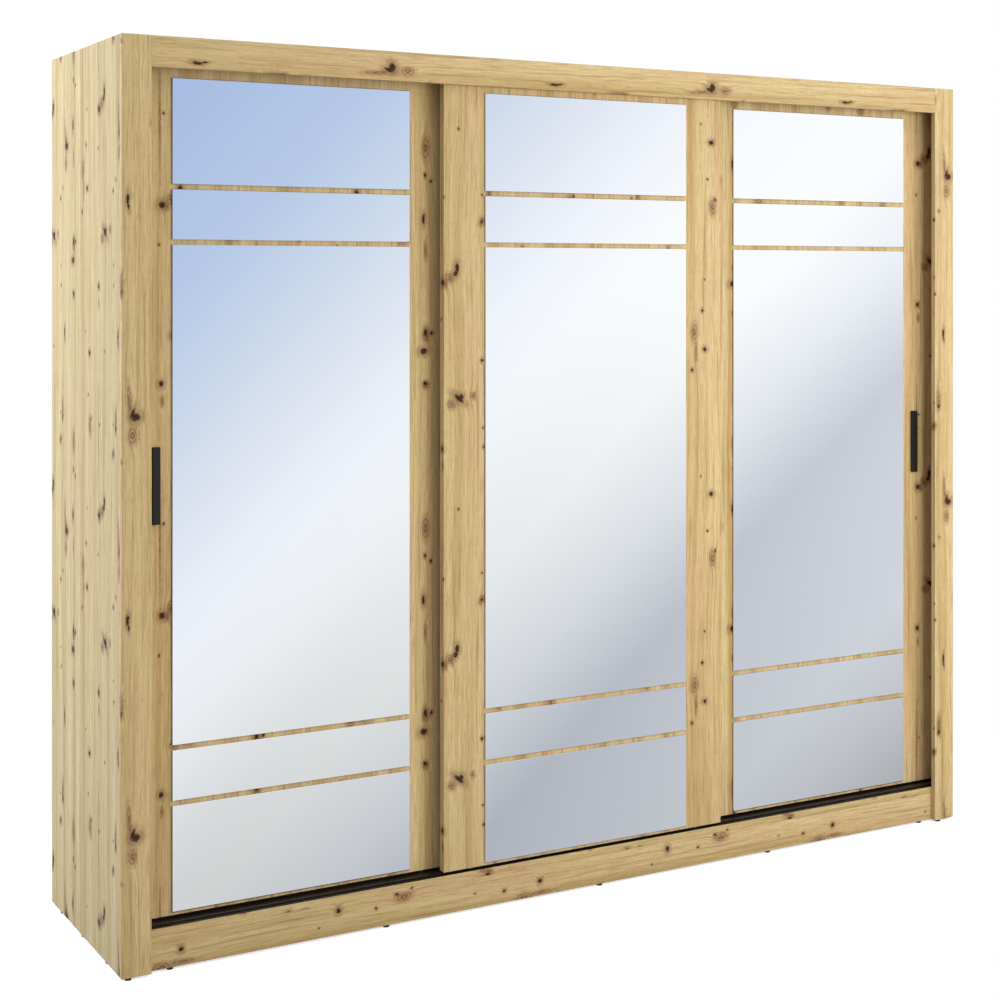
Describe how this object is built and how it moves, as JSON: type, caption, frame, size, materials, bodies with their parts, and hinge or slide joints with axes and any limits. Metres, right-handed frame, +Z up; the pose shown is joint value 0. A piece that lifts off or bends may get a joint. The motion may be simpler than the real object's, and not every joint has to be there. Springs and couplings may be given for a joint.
{
  "type": "sliding door wardrobe",
  "caption": "Wide free-standing wardrobe in knotty oak decor with sliding doors, each faced with a column of mirror panes.",
  "frame": {"origin": "on the floor, under the middle of the wardrobe's box", "axes": "+X along the width, to the right of a person facing the doors; +Y from the doors to the wall; +Z up"},
  "size_m": [2.5, 0.6, 2.156],
  "materials": {
    "artisan_oak": "matt melamine decor of knotty planked oak, with fine embossed grain",
    "mirror": "silvered float glass, 4 mm, ground edge",
    "handle_black": "matt black powder coat",
    "track_brown": "dark brown anodised extrusion",
    "zinc_steel": "zinc-plated folded sheet",
    "chrome": "chrome-plated tube",
    "nylon": "moulded nylon",
    "glide_black": "moulded black plastic",
    "back_board": "thin fibreboard, printed face"
  },
  "bodies": {
    "carcass": {"side_panel_left": "artisan_oak", "side_panel_right": "artisan_oak", "pilaster_left": "artisan_oak", "pilaster_right": "artisan_oak", "header_board": "artisan_oak", "top_panel": "artisan_oak", "bottom_panel": "artisan_oak", "plinth_front": "artisan_oak", "plinth_rear": "artisan_oak", "divider_left": "artisan_oak", "divider_right": "artisan_oak", "shelf_left": "artisan_oak", "shelf_right": "artisan_oak", "shelf_centre_upper": "artisan_oak", "shelf_centre_middle": "artisan_oak", "shelf_centre_lower": "artisan_oak", "hanging_rail_left": "chrome", "hanging_rail_right": "chrome", "back_panel_left": "back_board", "back_panel_centre": "back_board", "back_panel_right": "back_board", "glide_front_left": "glide_black", "glide_front_right": "glide_black", "glide_rear_left": "glide_black", "glide_rear_right": "glide_black", "bottom_track": "track_brown", "top_track_front": "track_brown", "top_track_rear": "track_brown"},
    "door_left": {"door_left_board": "artisan_oak", "mirror_left_bottom": "mirror", "mirror_left_lower": "mirror", "mirror_left_main": "mirror", "mirror_left_upper": "mirror", "mirror_left_top": "mirror", "handle_left": "handle_black", "roller_channel_left": "zinc_steel", "top_guide_left": "nylon"},
    "door_centre": {"door_centre_board": "artisan_oak", "mirror_centre_bottom": "mirror", "mirror_centre_lower": "mirror", "mirror_centre_main": "mirror", "mirror_centre_upper": "mirror", "mirror_centre_top": "mirror", "roller_channel_centre": "zinc_steel", "top_guide_centre": "nylon"},
    "door_right": {"door_right_board": "artisan_oak", "mirror_right_bottom": "mirror", "mirror_right_lower": "mirror", "mirror_right_main": "mirror", "mirror_right_upper": "mirror", "mirror_right_top": "mirror", "handle_right": "handle_black", "roller_channel_right": "zinc_steel", "top_guide_right": "nylon"},
    "roller_left_left": {"wheel_left_left": "nylon"},
    "roller_left_right": {"wheel_left_right": "nylon"},
    "roller_centre_left": {"wheel_centre_left": "nylon"},
    "roller_centre_right": {"wheel_centre_right": "nylon"},
    "roller_right_left": {"wheel_right_left": "nylon"},
    "roller_right_right": {"wheel_right_right": "nylon"}
  },
  "joints": [
    {"name": "door_left_slide", "type": "slide", "parent": "carcass", "child": "door_left", "axis": [1, 0, 0], "range_m": [0, 0.375]},
    {"name": "door_centre_slide", "type": "slide", "parent": "carcass", "child": "door_centre", "axis": [1, 0, 0], "range_m": [-0.795, 0.795]},
    {"name": "door_right_slide", "type": "slide", "parent": "carcass", "child": "door_right", "axis": [1, 0, 0], "range_m": [-0.375, 0]},
    {"name": "wheel_left_left_spin", "type": "hinge", "parent": "door_left", "child": "roller_left_left", "pos_m": [-1.148, -0.225, 0.1179], "axis": [0, 1, 0], "range_deg": [-5, 1960]},
    {"name": "wheel_left_right_spin", "type": "hinge", "parent": "door_left", "child": "roller_left_right", "pos_m": [-0.461, -0.225, 0.1179], "axis": [0, 1, 0], "range_deg": [-5, 1960]},
    {"name": "wheel_centre_left_spin", "type": "hinge", "parent": "door_centre", "child": "roller_centre_left", "pos_m": [-0.3435, -0.271, 0.1179], "axis": [0, 1, 0], "range_deg": [-4145, 4145]},
    {"name": "wheel_centre_right_spin", "type": "hinge", "parent": "door_centre", "child": "roller_centre_right", "pos_m": [0.3435, -0.271, 0.1179], "axis": [0, 1, 0], "range_deg": [-4145, 4145]},
    {"name": "wheel_right_left_spin", "type": "hinge", "parent": "door_right", "child": "roller_right_left", "pos_m": [0.461, -0.225, 0.1179], "axis": [0, 1, 0], "range_deg": [-1960, 5]},
    {"name": "wheel_right_right_spin", "type": "hinge", "parent": "door_right", "child": "roller_right_right", "pos_m": [1.148, -0.225, 0.1179], "axis": [0, 1, 0], "range_deg": [-1960, 5]}
  ],
  "couplings": [
    {"joint": "wheel_left_left_spin", "follows": "door_left_slide", "rad_per_m": 90.909},
    {"joint": "wheel_left_right_spin", "follows": "door_left_slide", "rad_per_m": 90.909},
    {"joint": "wheel_centre_left_spin", "follows": "door_centre_slide", "rad_per_m": 90.909},
    {"joint": "wheel_centre_right_spin", "follows": "door_centre_slide", "rad_per_m": 90.909},
    {"joint": "wheel_right_left_spin", "follows": "door_right_slide", "rad_per_m": 90.909},
    {"joint": "wheel_right_right_spin", "follows": "door_right_slide", "rad_per_m": 90.909}
  ]
}
